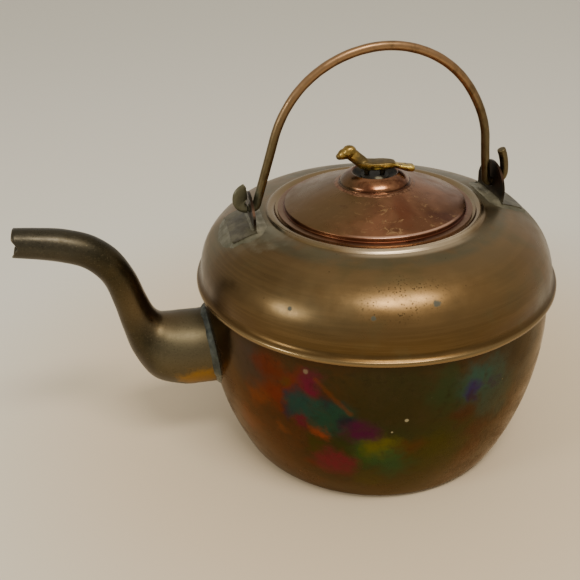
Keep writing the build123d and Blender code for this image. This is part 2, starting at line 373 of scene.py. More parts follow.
def mouth_trim(point, end):
    """Draws the last part of the spout back to the fish-mouth's edge."""
    reach = -point.x
    if reach <= mouth_start:
        return point
    off = abs(end.z - spout_mouth[1])
    notch = spout_mouth[0] + off / tan(radians(spout_mouth_half_angle))
    notch += 0.5 * noise.noise(Vector((end.y, end.z, 3.0)) / 6)
    full = -end.x
    wanted = min(full, notch)
    share = (reach - mouth_start) / (full - mouth_start)
    moved = mouth_start + share * (wanted - mouth_start)
    return Vector((-moved, point.y, point.z - (reach - moved) * tan(radians(mouth_slope))))


outer_rings = spout_rings(0.0)
inner_rings = spout_rings(spout_wall)
for rings, radius in ((outer_rings, spout_root[1]), (inner_rings, spout_root[1] - spout_wall)):
    root = root_ring(radius, root_overlap)
    between = [[a.lerp(b, t) for a, b in zip(root, rings[0])] for t in (0.25, 0.5, 0.75)]
    rings[:0] = [root] + between
    ends = list(rings[-1])
    for i, ring in enumerate(rings):
        rings[i] = [mouth_trim(p, end) for p, end in zip(ring, ends)]
lip = [a.lerp(b, 0.5) + Vector((-0.45, 0, 0)) for a, b in zip(outer_rings[-1], inner_rings[-1])]
rings = outer_rings + [lip] + inner_rings[::-1]
points, faces, owners = skin(rings, loop=True)
marks = [1 if len(outer_rings) < owner < len(rings) - 1 else 0 for owner in owners]
spout = piece("spout_shell", points, faces, marks, sharp=60)

# ---- solder round the spout's root ----
solder_wide = 2.5  # how far it reaches over the bowl
solder_long = 3.1  # and along the spout
rings = []
root = root_ring(spout_root[1], 0.0)
along = Vector((-1, 0, 0))
for base in root:
    out = Vector((0, base.y, base.z - spout_root[0])).normalized()
    ripple = noise.noise(base / 8)
    wide = solder_wide + 1.0 * noise.noise(base / 14 + Vector((7, 0, 0))) + 0.5 * ripple
    long = solder_long + 1.3 * noise.noise(base / 12) + 0.6 * noise.noise(base / 4)
    y, z = base.y + out.y * wide, base.z + out.z * wide
    face = bowl_radius(z)
    bowl_end = uneven(Vector((-sqrt(face * face - y * y), y, z)))
    bowl_end += (bowl_end * Vector((1, 1, 0))).normalized() * -0.25
    spout_end = base + along * long - out * 0.25
    bulge = base + (out * wide + along * long) * (0.5 + 0.1 * ripple)
    ring = []
    for t in (0.0, 0.08, 0.22, 0.36, 0.5, 0.64, 0.78, 0.92, 1.0):
        point = bowl_end * (1 - t) ** 2 + bulge * 2 * t * (1 - t) + spout_end * t * t
        lump = noise.noise(point / 3.6) * 0.40 + noise.noise(point / 1.5) * 0.10
        point += (out + along).normalized() * lump * 4 * t * (1 - t)
        ring.append(point)
    ring.append(base - out * 0.5 - along * 0.6)
    rings.append(ring)
spout_solder = solder_run("spout_solder_ring", rings)


# ---- solder patches under the lugs ----
patch_middle = 87.0  # from the kettle's axis
patch_reach = 19.6
patch_half_width = 27.4
patch_inner_edge = 74.0
foot_edge = 97.0  # the outer edge of the lug's foot, from the axis
foot_half_width = 21.0
tab_half_width = 15.0
fillet = 4.5  # the solder fades out over this much beside the tab
ridge = 0.9  # height of the solder's ridge along the foot's edges
ridge_width = 1.8


def lug_patch(name, side, seed):
    """Solder smeared round a lug's foot, thinning out to nothing at its ragged edge."""
    count, steps = 120, 26
    rings = []
    for i in range(steps + 1):
        share = i / steps
        ring = []
        for at in around(count, count if i else 1):
            ragged = 1 + 0.13 * noise.noise(Vector((cos(at) * 1.6, sin(at) * 1.6, seed)))
            ragged += 0.05 * noise.noise(Vector((cos(at) * 6, sin(at) * 6, seed)))
            x = patch_middle + patch_reach * share * ragged * cos(at)
            y = patch_half_width * share * ragged * sin(at)
            x = max(x, patch_inner_edge + 0.6 * noise.noise(Vector((y / 5, seed, 0))))
            thick = 0.85 * (1 - smooth((share - 0.55) / 0.45)) - 0.12
            spot = Vector((x * side, y, seed))
            thick += (0.30 * noise.noise(spot / 9) + 0.06 * noise.noise(spot / 2.6)) * (1 - share * 0.7)
            near_tab = abs(x - lug_inner - lug_wall / 2) - lug_wall / 2
            if abs(y) < tab_half_width + fillet:
                beside = 1 - smooth((abs(y) - tab_half_width) / fillet)
                thick += 1.5 * (1 - smooth(near_tab / 3.8)) * beside
            if abs(y) < foot_half_width + 1:
                thick += ridge * (1 - smooth(abs(x - foot_edge) / ridge_width))
            if lug_inner < x < foot_edge:
                thick += ridge * (1 - smooth(abs(abs(y) - foot_half_width) / ridge_width))
            if share == 1:
                thick = -0.35
            ring.append(Vector((x * side, y * side, dome_height(hypot(x, y)) + thick)))
        rings.append(ring)
    under = [[p - Vector((0, 0, 0.5)) for p in ring] for ring in rings]
    return solder_run(name, rings + under[::-1], loop=False)


front_patch = lug_patch("front_lug_patch", -1, 1.7)
rear_patch = lug_patch("rear_lug_patch", 1, 8.3)


# ---- bail ----
def half_bail(hook, leg_lean, shift):
    """The middle line of one half of the bail, from its hooked end to the crown."""
    hook_steps = [("bend", hook_bend, 90.0), ("bend", hook[0], hook[1])]
    hooked, _ = follow((hook_start, 0), 0, hook_steps, fine=1.2)
    foot_turn = 90 - leg_lean
    leg_foot = shift + bail_curve / cos(radians(leg_lean)) + bail_curve_height * tan(radians(leg_lean))
    straight = hook_start - leg_foot - leg_bend * tan(radians(foot_turn / 2))
    foot, _ = follow((hook_start, 0), 180, [("line", straight), ("bend", leg_bend, -foot_turn)], fine=1.2)
    top = (
        shift + bail_curve * cos(radians(leg_lean)),
        bail_curve_height + bail_curve * sin(radians(leg_lean)),
    )
    length = hypot(top[0] - foot[-1][0], top[1] - foot[-1][1])
    leg, _ = follow(foot[-1], 90 + leg_lean, [("line", length)], fine=1.5)
    arc, _ = follow(top, 90 + leg_lean, [("bend", bail_curve, 90 - leg_lean)], fine=1.5)
    return hooked[::-1] + foot[1:] + leg[1:] + arc[1:]


rear = [Vector((x, 0, hinge_height + z)) for x, z in half_bail(rear_hook, rear_leg_lean, bail_shift)]
front = [Vector((-x, 0, hinge_height + z)) for x, z in half_bail(front_hook, front_leg_lean, -bail_shift)]
line = rear + front[::-1][1:]


def rod_wobble(point):
    """Hand-bent rod: free to wander between the lugs, true where it runs through them."""
    free = smooth((point.z - hinge_height - 14) / 25)
    aside = 0.6 * noise.noise(point / 37 + Vector((9, 0, 0)))
    return Vector((0.45 * noise.noise(point / 31), aside, 0)) * free


line = [p + rod_wobble(p) for p in line]
rings = []
rod_turns = 28
last = len(line) - 1
hook_length = hook_bend * pi / 2 + front_hook[0] * radians(front_hook[1])
hook_heart = Vector((-hook_start + 2.0, 0, hinge_height + hook_bend))
blade_inward = 8.4  # how far the flattened hook reaches inwards from the rod's middle
blade_edge = 83.3  # its straight inner edge, just outside the lug
blade_half_wall = 1.8
to_tip = [0.0]
for i in range(last, 0, -1):
    to_tip.insert(0, to_tip[0] + (line[i] - line[i - 1]).length)
for i, here in enumerate(line):
    tangent = (line[min(last, i + 1)] - line[max(0, i - 1)]).normalized()
    side = Vector((0, 1, 0))
    up = tangent.cross(side).normalized()
    side = up.cross(tangent).normalized()
    if up.dot(hook_heart - here) < 0 and to_tip[i] < hook_length:
        up = -up
    width = rod_radius * (1 + 0.022 * noise.noise(here / 7) + 0.02 * noise.noise(here / 3.2))
    share = 1 - to_tip[i] / hook_length
    flat = smooth(share / 0.32)
    tip = smooth((share - 0.60) / 0.40)
    inward = width + (blade_inward - rod_radius) * flat
    if flat > 0 and up.x > 0.05:
        inward = min(inward, max(0.7, (-blade_edge - here.x) / up.x))
    outward = width * (1 - 0.42 * tip)
    half_wall = width + (blade_half_wall - rod_radius) * flat - 0.5 * tip
    ring = []
    for at in around(rod_turns):
        across, along = cos(at), sin(at)
        reach = inward if along > 0 else outward
        ring.append(here + side * across * half_wall + up * along * reach)
    rings.append(ring)
for end, step in ((0, 1), (last, -1)):
    middle = line[end]
    inward = (line[end + step] - middle).normalized()
    shapes = [[middle]]
    for scale, back in ((0.55, -0.12), (0.84, -0.05), (0.95, 0.12)):
        shapes.append([middle + (p - middle) * scale + inward * back for p in rings[end]])
    rings[end] = [p + inward * 0.4 for p in rings[end]]
    if end == 0:
        head = shapes
    else:
        tail = shapes[::-1]
points, faces, owners = skin(head + rings + tail)
marks = [1 if owner < 3 or owner > len(rings) + 2 else 0 for owner in owners]
bail = piece("bail_rod", points, faces, marks, sharp=50)

# ---- lid ----
points, heading = follow(lid_start, 180, lid_steps)
lid_line = lid_steps + [to_axis(points[-1][0], heading)]


def lid_uneven(point):
    """The cone of the lid is a little dented. Its flange and step are true."""
    radius = hypot(point.x, point.y)
    free = (1 - smooth((radius - 50) / 7)) * smooth((radius - 25) / 6)
    depth = 0.30 * noise.noise(point / 21 + Vector((3, 5, 0))) + 0.07 * noise.noise(point / 7)
    return point + Vector((0, 0, depth * free))


outer, inner = sheet(lid_start, 180, lid_line, sheet_wall, capped=True)
lid = lathe("lid_disc", outer, inner, lid_uneven, turns=256, closed=True)

# ---- knob ----
points, heading = follow(knob_start, 90, knob_steps)
dish_turn = heading - 180
knob_line = knob_steps + [("bend", points[-1][0] / sin(radians(dish_turn)), -dish_turn)]
outer, inner = sheet(knob_start, 90, knob_line, knob_wall, fine=1.0, capped=True)


def knob_uneven(point):
    return point + Vector((point.x, point.y, 0)).normalized() * 0.12 * noise.noise(point / 9)


knob = lathe("knob", outer, inner, knob_uneven, turns=160, closed=True)

# Solder round the knob's foot, thinning out over the lid.
lid_fall = 0.30  # slope of the lid there
rings = []
foot_wide = 2.3
foot_high = 0.30
for at in around(240):
    out = Vector((cos(at), sin(at), 0))
    lump = noise.noise(out * 3) * 0.7 + noise.noise(out * 9) * 0.25
    wide = foot_wide + 0.9 * lump
    high = max(0.12, foot_high + 0.22 * lump)
    foot = out * (knob_start[0] - 0.2) + Vector((0, 0, knob_start[1] - 0.4))

    def flare(share, thick):
        """A point on the flare, the given share of the way out and this thick over the lid."""
        return foot + out * (0.2 + wide * share) + Vector((0, 0, 0.3 + thick - lid_fall * wide * share))

    rings.append([foot, foot + Vector((0, 0, 0.4 + high)), flare(0.2, high), flare(0.55, high * 0.6),
                  flare(0.85, high * 0.2), flare(1.0, -0.12)])
knob_solder = solder_run("knob_solder", rings)

# ---- bird ----
bird_parts_points, bird_parts_faces = [], []


def add_shape(rings):
    points, faces, _ = skin(rings)
    start = len(bird_parts_points)
    bird_parts_points.extend(points)
    bird_parts_faces.extend([tuple(start + v for v in face) for face in faces])


def oval(centre, radii, tilt=0.0, count=24):
    """An ellipsoid, tilted nose-down by an angle about the sideways axis."""
    rings = []
    turn = Matrix.Rotation(radians(tilt), 3, "Y")
    for i in range(count // 2 + 1):
        low = pi * i / (count // 2)
        ring = []
        for at in around(count, count if 0 < i < count // 2 else 1):
            x, y, z = radii[0] * cos(low), radii[1] * sin(low) * cos(at), radii[2] * sin(low) * sin(at)
            ring.append(Vector(centre) + turn @ Vector((x, y, z)))
        rings.append(ring)
    add_shape(rings)


def hull(sections):
    """A body through sections (place, height of the top, half width, depth), with a flat top."""
    rings = []
    for place, top, half, deep in sections:
        above = 0.22 * deep  # the part of its depth above its widest line
        ring = []
        for at in around(28):
            up = above * sin(at) ** 0.5 if sin(at) >= 0 else (above - deep) * abs(sin(at)) ** 0.8
            ring.append(Vector((place, half * cos(at), top - above + up)))
        rings.append(ring)
    first, last = [[Vector((end[0], 0, end[1] - end[3] / 2))] for end in (sections[0], sections[-1])]
    add_shape([first] + rings + [last])


# Forward is +X here. It is turned towards the spout below.
hull([(-13.2, 1.1, 2.6, 3.0), (-12.2, 1.9, 3.8, 4.6), (-9.5, 2.3, 5.0, 5.6), (-4.5, 2.4, 5.9, 6.2),
      (1.0, 2.5, 6.0, 6.4), (5.0, 2.8, 5.3, 6.4), (8.0, 3.2, 4.3, 6.2), (10.2, 3.9, 3.2, 5.2)])
hull([(-25.3, -1.9, 3.0, 3.4), (-24.5, -1.3, 3.8, 4.7), (-21.0, -1.0, 3.8, 4.5), (-16.5, -0.3, 3.5, 3.8),
      (-12.5, 0.6, 3.2, 3.2), (-9.0, 1.3, 2.8, 2.8)])
for share in (0.0, 0.2, 0.4, 0.6, 0.8, 1.0):
    oval((7.4 + 7.6 * share, 0, 0.9 + 6.3 * share), (4.2, 3.8 - 0.1 * share, 3.9 + 0.2 * share))
oval((16.6, 0, 8.6), (4.9, 4.3, 4.5), 14)
oval((20.2, 0, 7.3), (4.0, 3.5, 3.5), 26)
oval((22.5, 0, 6.2), (2.5, 2.6, 2.3), 26)
for side in (-5.0, 5.0):
    oval((side, 0, -3.4), (2.0, 1.9, 4.9))
turned = [Matrix.Rotation(radians(180 + bird_yaw), 3, "Z") @ p + Vector((0, 0, bird_middle))
          for p in bird_parts_points]
bird = piece("bird", turned, bird_parts_faces)
remesh = bird.modifiers.new("melt", "REMESH")
remesh.mode = "VOXEL"
remesh.voxel_size = 0.42 * MM
ease = bird.modifiers.new("ease", "SMOOTH")
ease.iterations = 5
ease.factor = 0.5
bpy.context.view_layer.update()
baked(bird, sharp=180)
for vertex in bird.data.vertices:
    spot = vertex.co / MM
    rough = 0.16 * noise.noise(spot / 3.1) + 0.08 * noise.noise(spot / 1.2)
    vertex.co += vertex.normal * rough * MM

# ---- the pieces ride on their bodies ----
built = [
    (bowl, "kettle", "bowl_copper", "lower_body"),
    (shoulder, "kettle", "shoulder_copper", "upper_body"),
    (spout, "kettle", "spout_copper", "spout"),
    (spout_solder, "kettle", "solder", "spout_solder"),
    (front_patch, "kettle", "solder", "front_lug_solder"),
    (rear_patch, "kettle", "solder", "rear_lug_solder"),
    (bail, "bail", "rod_copper", "bail_handle"),
    (lid, "lid", "lid_copper", "lid"),
    (knob, "lid", "knob_copper", "lid_boss"),
    (knob_solder, "lid", "solder", "boss_solder"),
    (bird, "lid", "bird_brass", "finial_bird"),
]
for made, body, slot_name, node in built:
    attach(made, body)
    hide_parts(node)

for name in ("front_lug", "rear_lug"):
    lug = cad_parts[name]
    rounding = lug.modifiers.new("rounded_edges", "BEVEL")
    rounding.width = 0.35 * MM
    rounding.segments = 2
    rounding.limit_method = "ANGLE"
    rounding.angle_limit = radians(35)
    rounding.material = 1

# ---- helpers for looks ----
def screen(red, green, blue):
    """A colour as it looks on a screen, 0 to 255 each, as linear light."""
    parts = [v / 255 for v in (red, green, blue)]
    return (*[v / 12.92 if v <= 0.04045 else ((v + 0.055) / 1.055) ** 2.4 for v in parts], 1.0)


class Look:
    """A procedural material whose patterns are placed in millimetres in the kettle's frame."""

    def __init__(self, name):
        self.material = bpy.data.materials.new(name)
        self.material.use_nodes = True
        self.tree = self.material.node_tree
        self.shader = self.tree.nodes["Principled BSDF"]
        self.mm = None
        self.tint = None

    def feed(self, socket, value):
        if isinstance(value, bpy.types.NodeSocket):
            self.tree.links.new(value, socket)
        else:
            socket.default_value = value

    def node(self, kind, fed, **settings):
        """A node with its settings and what its sockets are fed, by name or number."""
        made = self.tree.nodes.new("ShaderNode" + kind)
        for key, value in settings.items():
            setattr(made, key, value)
        for socket, value in fed.items():
            self.feed(made.inputs[socket], value)
        return made

    def set(self, socket, value):
        self.feed(self.shader.inputs[socket], value)

    def sum(self, kind, *fed):
        return self.node("Math", dict(enumerate(fed)), operation=kind).outputs[0]

    def times(self, a, b):
        return self.sum("MULTIPLY", a, b)

    def most(self, a, b):
        return self.sum("MAXIMUM", a, b)

    def off(self, value, middle):
        """How far a value is from a middle one, either way."""
        return self.sum("ABSOLUTE", self.sum("SUBTRACT", value, middle))

    def vector(self, kind, *fed, out="Vector"):
        return self.node("VectorMath", dict(enumerate(fed)), operation=kind).outputs[out]

    def scaled(self, a, scale):
        return self.node("VectorMath", {0: a, "Scale": scale}, operation="SCALE").outputs[0]

    def place(self):
        """Object coordinates in millimetres."""
        if self.mm is None:
            self.mm = self.scaled(self.node("TexCoord", {}).outputs["Object"], 1 / MM)
        return self.mm

    def height(self):
        return self.node("SeparateXYZ", {0: self.place()}).outputs["Z"]

    def radius(self):
        return self.vector("LENGTH", self.vector("MULTIPLY", self.place(), (1, 1, 0)), out="Value")

    def band(self, value, start, end, low=0.0, high=1.0):
        """A smooth step from low at start to high at end."""
        fed = {"Value": value, "From Min": start, "From Max": end, "To Min": low, "To Max": high}
        return self.node("MapRange", fed, interpolation_type="SMOOTHSTEP").outputs["Result"]

    def ring(self, start, end):
        """A smooth step outwards from the axis."""
        return self.band(self.radius(), start, end)

    def level(self, start, end):
        """A smooth step upwards."""
        return self.band(self.height(), start, end)

    def noise(self, size, detail=3.0, rough=0.55, twist=0.0, stretch=(1, 1, 1), move=(0, 0, 0)):
        """Soft noise about 0.5 with features of the given size in millimetres."""
        spread = self.vector("MULTIPLY_ADD", self.place(), [1 / (size * s) for s in stretch], move)
        fed = {"Vector": spread, "Scale": 1.0, "Detail": detail, "Roughness": rough, "Distortion": twist}
        return self.node("TexNoise", fed).outputs["Fac"]

    def specks(self, size, share, move=(0, 0, 0)):
        """Scattered round specks: 1 in a speck, 0 outside. The size is their spacing."""
        spread = self.vector("MULTIPLY_ADD", self.place(), [1 / size] * 3, move)
        cells = self.node("TexVoronoi", {"Vector": spread, "Scale": 1.0, "Randomness": 1.0})
        return self.band(cells.outputs["Distance"], share, share * 0.55)

    def warped(self, size, amount):
        """The place in millimetres pushed about by noise, which makes painted shapes wispy."""
        fed = {"Vector": self.place(), "Scale": 1 / size, "Detail": 5.0, "Roughness": 0.6}
        push = self.node("TexNoise", fed).outputs["Color"]
        centred = self.vector("SUBTRACT", push, (0.5, 0.5, 0.5))
        return self.vector("MULTIPLY_ADD", centred, [2 * amount] * 3, self.place())

    def ragged(self, distance, wobble, size, move=(0, 0, 0)):
        """A distance made uneven by noise."""
        uneven_by = self.sum("SUBTRACT", self.noise(size, 3.0, move=move), 0.5)
        return self.sum("MULTIPLY_ADD", uneven_by, 2 * wobble, distance)

    def near(self, centre, full, none, wobble=0.0, size=8.0, stretch=(1, 1, 1), where=None):
        """1 within `full` of a point and 0 beyond `none`, with an uneven edge."""
        away = self.vector("SUBTRACT", where or self.place(), centre)
        distance = self.vector("LENGTH", self.vector("DIVIDE", away, stretch), out="Value")
        if wobble:
            move = (centre[0] * 0.37, centre[1] * 0.21, centre[2] * 0.5)
            distance = self.ragged(distance, wobble, size, move)
        return self.band(distance, none, full)

    def stroke(self, start, end, full, none, wobble):
        """1 along a straight stroke between two points, fading across it, with an uneven edge."""
        line = Vector(end) - Vector(start)
        away = self.vector("SUBTRACT", self.place(), start)
        along = self.vector("DOT_PRODUCT", away, line.normalized(), out="Value")
        along = self.sum("MINIMUM", self.most(along, 0.0), line.length)
        across = self.vector("DISTANCE", away, self.scaled(line.normalized(), along), out="Value")
        return self.band(self.ragged(across, wobble, 5.0), none, full)

    def cloudy(self, low, high, *pattern):
        """A roughness that drifts between two values."""
        return self.band(self.noise(*pattern), 0.3, 0.7, low, high)

    def worn(self, start, end):
        """1 on outward edges, where hands and cloths polish the metal."""
        bend = self.node("NewGeometry", {}).outputs["Pointiness"]
        return self.band(bend, start, end)

    def mix(self, share, a, b):
        """Two paints mixed. A plain colour is given as it looks on a screen, 0 to 255 each."""
        a, b = (screen(*paint) if isinstance(paint, tuple) else paint for paint in (a, b))
        return self.node("Mix", {0: share, 6: a, 7: b}, data_type="RGBA").outputs[2]

    def blend(self, share, a, b):
        return self.node("Mix", {0: share, 2: a, 3: b}, data_type="FLOAT").outputs[0]

    def ground(self, pattern, start, end, a, b):
        """The first coat: one colour turning into another with a pattern."""
        self.tint = self.mix(self.band(pattern, start, end), a, b)

    def cover(self, mask, paint):
        """Paints a colour over the coats so far, through a mask."""
        self.tint = self.mix(mask, self.tint, paint)

    def lay(self, mask, share, paint):
        """The same with only a share of the mask's strength."""
        self.cover(self.times(mask, share), paint)

    def done(self, metallic, roughness, *layers):
        """The finished material. The relief's layers are (depth in millimetres, a noise's values)."""
        self.set("Base Color", self.tint)
        self.set("Metallic", metallic)
        self.set("Roughness", roughness)
        normal = None
        for depth, *pattern in layers:
            fed = {"Strength": 1.0, "Distance": depth * MM, "Height": self.noise(*pattern)}
            if normal is not None:
                fed["Normal"] = normal
            normal = self.node("Bump", fed).outputs["Normal"]
        if layers:
            self.set("Normal", normal)
        return self.material


def spot_at(turn, radius, height):
    """A point by compass angle, distance from the axis and height."""
    return (radius * cos(radians(turn)), radius * sin(radians(turn)), height)


def on_bowl(turn, height):
    return spot_at(turn, bowl_radius(height), height)


def on_dome(turn, radius):
    return spot_at(turn, radius, dome_height(radius))


# ---- bowl: heat-coloured polished copper ----
# Where the flames played: (compass angle, height, full reach, outer reach, colour, share).
heat_patches = [
    (-100, 92, 12, 50, (50, 47, 22), 0.85),  # dark olive middle
    (-84, 74, 10, 34, (58, 53, 26), 0.8),
    (-95, 22, 10, 40, (70, 52, 16), 0.8),
    (-104, 50, 12, 34, (44, 56, 28), 0.75),  # broad green, low
    (-86, 52, 10, 28, (52, 58, 22), 0.7),
    (-90, 26, 8, 26, (52, 50, 20), 0.6),
    (-148, 102, 8, 24, (62, 52, 48), 0.8),  # dull violet-brown behind the solder
    (-58, 104, 12, 34, (50, 52, 42), 0.8),  # dull grey-green, right
    (-48, 100, 10, 30, (58, 62, 60), 0.85),  # grey-blue edge, right
    (-57, 110, 6, 17, (42, 33, 20), 0.85),  # dark brown above it
    (-48, 64, 6, 26, (84, 74, 60), 0.85),  # rubbed copper, right
    (-143, 81, 2, 13, (116, 56, 24), 0.7),  # orange
    (-139, 107, 3, 14, (92, 34, 14), 0.8),
    (-136, 88, 3, 15, (104, 38, 20), 0.8),
    (-150, 51, 3, 14, (116, 56, 24), 0.6),
    (-135, 62, 1, 7, (116, 62, 30), 0.7),
    (-130, 99, 4, 14, (100, 38, 24), 0.8),
    (-134, 98, 1, 6, (84, 52, 12), 0.8),
    (-124, 103, 3, 12, (98, 14, 48), 0.85),  # magenta
    (-129, 92, 1, 8, (40, 26, 56), 0.8),  # blue-violet rim of the teal
    (-119, 89, 1, 9, (36, 20, 50), 0.8),
    (-131, 79, 1, 8, (42, 26, 54), 0.8),
    (-126, 84, 5, 15, (20, 66, 62), 0.85),  # teal
    (-118, 80, 6, 16, (24, 66, 54), 0.85),
    (-127, 70, 1, 8, (92, 12, 42), 0.85),
    (-122, 67, 2, 8, (134, 60, 34), 0.75),
    (-110, 69, 4, 14, (74, 10, 58), 0.9),  # purple
    (-114, 78, 1, 7, (30, 22, 44), 0.8),
    (-124, 54, 2, 10, (54, 54, 10), 0.8),  # olive-green
    (-115, 60, 2, 11, (40, 52, 14), 0.75),
    (-107, 54, 4, 16, (46, 78, 28), 0.8),
    (-118, 42, 5, 17, (106, 16, 44), 0.85),  # low red
    (-126, 36, 1, 9, (92, 26, 14), 0.7),
    (-103, 59, 3, 14, (98, 94, 18), 0.85),  # yellow-green
    (-100, 46, 5, 17, (38, 76, 42), 0.75),
    (-94, 58, 2, 12, (84, 50, 10), 0.7),
    (-86, 57, 3, 15, (64, 60, 8), 0.75),
    (-90, 46, 3, 14, (60, 58, 14), 0.6),
    (-107, 28, 2, 12, (66, 62, 14), 0.6),
    (-85, 100, 5, 20, (42, 60, 34), 0.75),  # green, right
    (-74, 98, 6, 20, (44, 80, 72), 0.85),
    (-68, 82, 6, 20, (50, 68, 58), 0.8),
    (-77, 95, 1.5, 8, (48, 28, 86), 0.85),
    (-78, 90, 0.5, 5, (42, 28, 58), 0.75),
    (-70, 96, 0.5, 5, (50, 34, 56), 0.7),
    (-79, 81, 3, 12, (70, 38, 20), 0.7),
    (-74, 60, 2, 11, (70, 34, 18), 0.6),
]
look = Look("heat_coloured_copper")
look.ground(look.noise(34, 5.0, 0.65, 0.4, move=(4, 0, 2)), 0.38, 0.62, (76, 46, 20), (56, 42, 20))
look.lay(look.near(on_bowl(-150, 46), 20, 60, 14, 20), 0.9, (76, 45, 22))
wisps = look.warped(16, 13)
for turn, height, full, none, paint, share in heat_patches:
    mask = look.near(on_bowl(turn, height), full, none * 1.15, where=wisps)
    look.lay(mask, share, paint)
look.lay(look.stroke(on_bowl(-123, 107), on_bowl(-113, 86), 0.2, 2.6, 1.2), 0.4, (118, 56, 18))
look.cover(look.band(look.noise(13, 6.0, 0.72, 0.8, move=(1, 7, 3)), 0.46, 0.70, 0.0, 0.30), (64, 52, 34))
soft_dark = look.band(look.noise(5, 5.0, 0.72, move=(3, 3, 9)), 0.50, 0.72, 0.0, 0.35)
look.cover(soft_dark, (34, 24, 10))
# Painted shade under the shoulder's flared edge: the bowl darker towards its top.
look.lay(look.level(112, 122), 0.6, (40, 28, 12))
look.cover(0.07, (78, 78, 70))
look.lay(look.specks(21, 0.030), 0.45, (136, 120, 92))
drops = look.near(on_bowl(-97, 82), 0.8, 1.5, 0.4, 2.0)
drops = look.most(drops, look.near(on_bowl(-101, 73), 0.4, 0.9, 0.3, 2.0))
drops = look.most(drops, look.times(look.near(on_bowl(-126, 111), 1.0, 2.2, 0.6, 2.0), 0.4))
look.cover(drops, (140, 130, 98))
look.set("Specular Tint", screen(238, 224, 208))
brushed = look.noise(1.1, 3.0, 0.6, stretch=(1, 1, 7))
brush_zone = look.near(on_bowl(-66, 48), 20, 70, 20, 20)
smear = look.band(look.noise(24, 5.0, 0.65, stretch=(1, 1, 0.5)), 0.3, 0.75, 0.15, 0.32)
hair = look.times(look.band(brushed, 0.35, 0.65, 0.0, 0.14), brush_zone)
bowl_look = look.done(
    look.blend(drops, 1.0, 0.2),
    look.sum("ADD", smear, hair),
    (0.05, 5, 3.0), (0.006, 1.4, 2.0),
)

# ---- shoulder: satin bronze-brown copper ----
look = Look("browned_copper")
broad = look.noise(58, 3.0, 0.5, 0.3)
look.ground(broad, 0.36, 0.66, (116, 90, 56), (104, 86, 58))
# Painted reflection of a warm brown board below: the dome darker and warmer towards its lower edge.
look.lay(look.level(152, 128), 0.8, (80, 58, 29))
# Painted reflection of a pale wall: the dome lighter just below the neck.
look.lay(look.level(156, 163), 0.5, (124, 102, 70))
shade = look.near(on_dome(-158, 108), 24, 62, 16, 20)
look.lay(shade, 0.6, (84, 62, 34))
around_neck = look.times(look.ring(88, 82), look.ring(70, 75))
around_neck = look.times(around_neck, look.band(look.noise(24, 3.0, 0.6, move=(2, 8, 1)), 0.34, 0.56))
look.lay(around_neck, 0.65, (96, 92, 70))
look.lay(look.band(look.noise(30, 4.0, 0.6, move=(6, 2, 0)), 0.52, 0.72), 0.4, (94, 86, 58))
patina = look.near((-92, 0, 162), 10, 38, 14, 18)
patina = look.most(patina, look.near((90, -2, 160), 18, 38, 10, 14))
patina = look.times(patina, 0.85)
look.cover(patina, (86, 80, 60))
smear = look.near((-74, -24, 165), 4, 17, 9, 6, stretch=(1, 1.3, 1))
look.lay(smear, 0.7, (134, 128, 106))
# The neck ring a little brighter all round, with a painted highlight across its front.
ring = look.times(look.ring(71, 69.5), look.level(165.2, 166.6))
ring_highlight = look.near((4, -68, 166), 20, 54, 6, 12)
look.cover(look.times(ring, look.blend(ring_highlight, 0.15, 0.9)), (214, 192, 160))
# Painted highlight in the cove just outside the neck ring, on its front.
cove_highlight = look.times(look.ring(76.5, 73.0), look.ring(69.5, 71.0))
cove_highlight = look.times(cove_highlight, look.near((4, -72, 165), 22, 48, 8, 12))
look.lay(cove_highlight, 0.8, (196, 176, 146))
streaks = look.noise(5, 3.0, 0.6, stretch=(9, 9, 0.35), move=(2, 2, 5))
look.cover(look.band(streaks, 0.42, 0.62, 0.0, 0.09), (150, 118, 76))
pit_zone = look.near(on_dome(-99, 103), 6, 16, 6, 7, stretch=(2.2, 1, 1))
pits = look.times(look.specks(1.5, 0.42, (3, 1, 4)), look.band(look.noise(5, 4.0, 0.7), 0.42, 0.56))
pits = look.times(pits, pit_zone)
sparse = look.times(look.specks(15, 0.035, (1, 8, 2)), 0.7)
pits = look.most(pits, sparse)
for turn, radius, size in ((-86, 72.0, 1.3), (-76, 72.2, 1.1)):
    spot = spot_at(turn, radius, 164.6)
    pits = look.most(pits, look.near(spot, size * 0.4, size, 0.7, 1.4))
look.lay(pits, 0.8, (50, 40, 26))
green = look.near(on_dome(-88.6, 106.6), 1.3, 2.6, 1.5, 1.8)
green = look.most(green, look.near(on_dome(-131.8, 111.0), 0.8, 1.6, 0.6, 1.6))
green = look.most(green, look.near(on_dome(-107.2, 110.4), 1.0, 1.8, 0.6, 1.6))
look.lay(green, 0.9, (58, 58, 40))
rim = look.times(look.ring(118.6, 119.9), look.level(127, 124))
look.lay(rim, 0.6, (150, 124, 84))
satin = look.band(look.noise(20, 5.0, 0.65), 0.3, 0.72, 0.27, 0.40)
satin = look.blend(look.most(patina, green), satin, 0.52)
satin = look.blend(look.times(ring, 0.9), satin, 0.22)
shoulder_look = look.done(
    look.blend(look.most(look.times(patina, 0.6), green), 1.0, 0.25),
    look.blend(rim, satin, 0.24),
    (0.035, 9, 3.0), (0.008, 1.6, 3.0, 0.6),
)

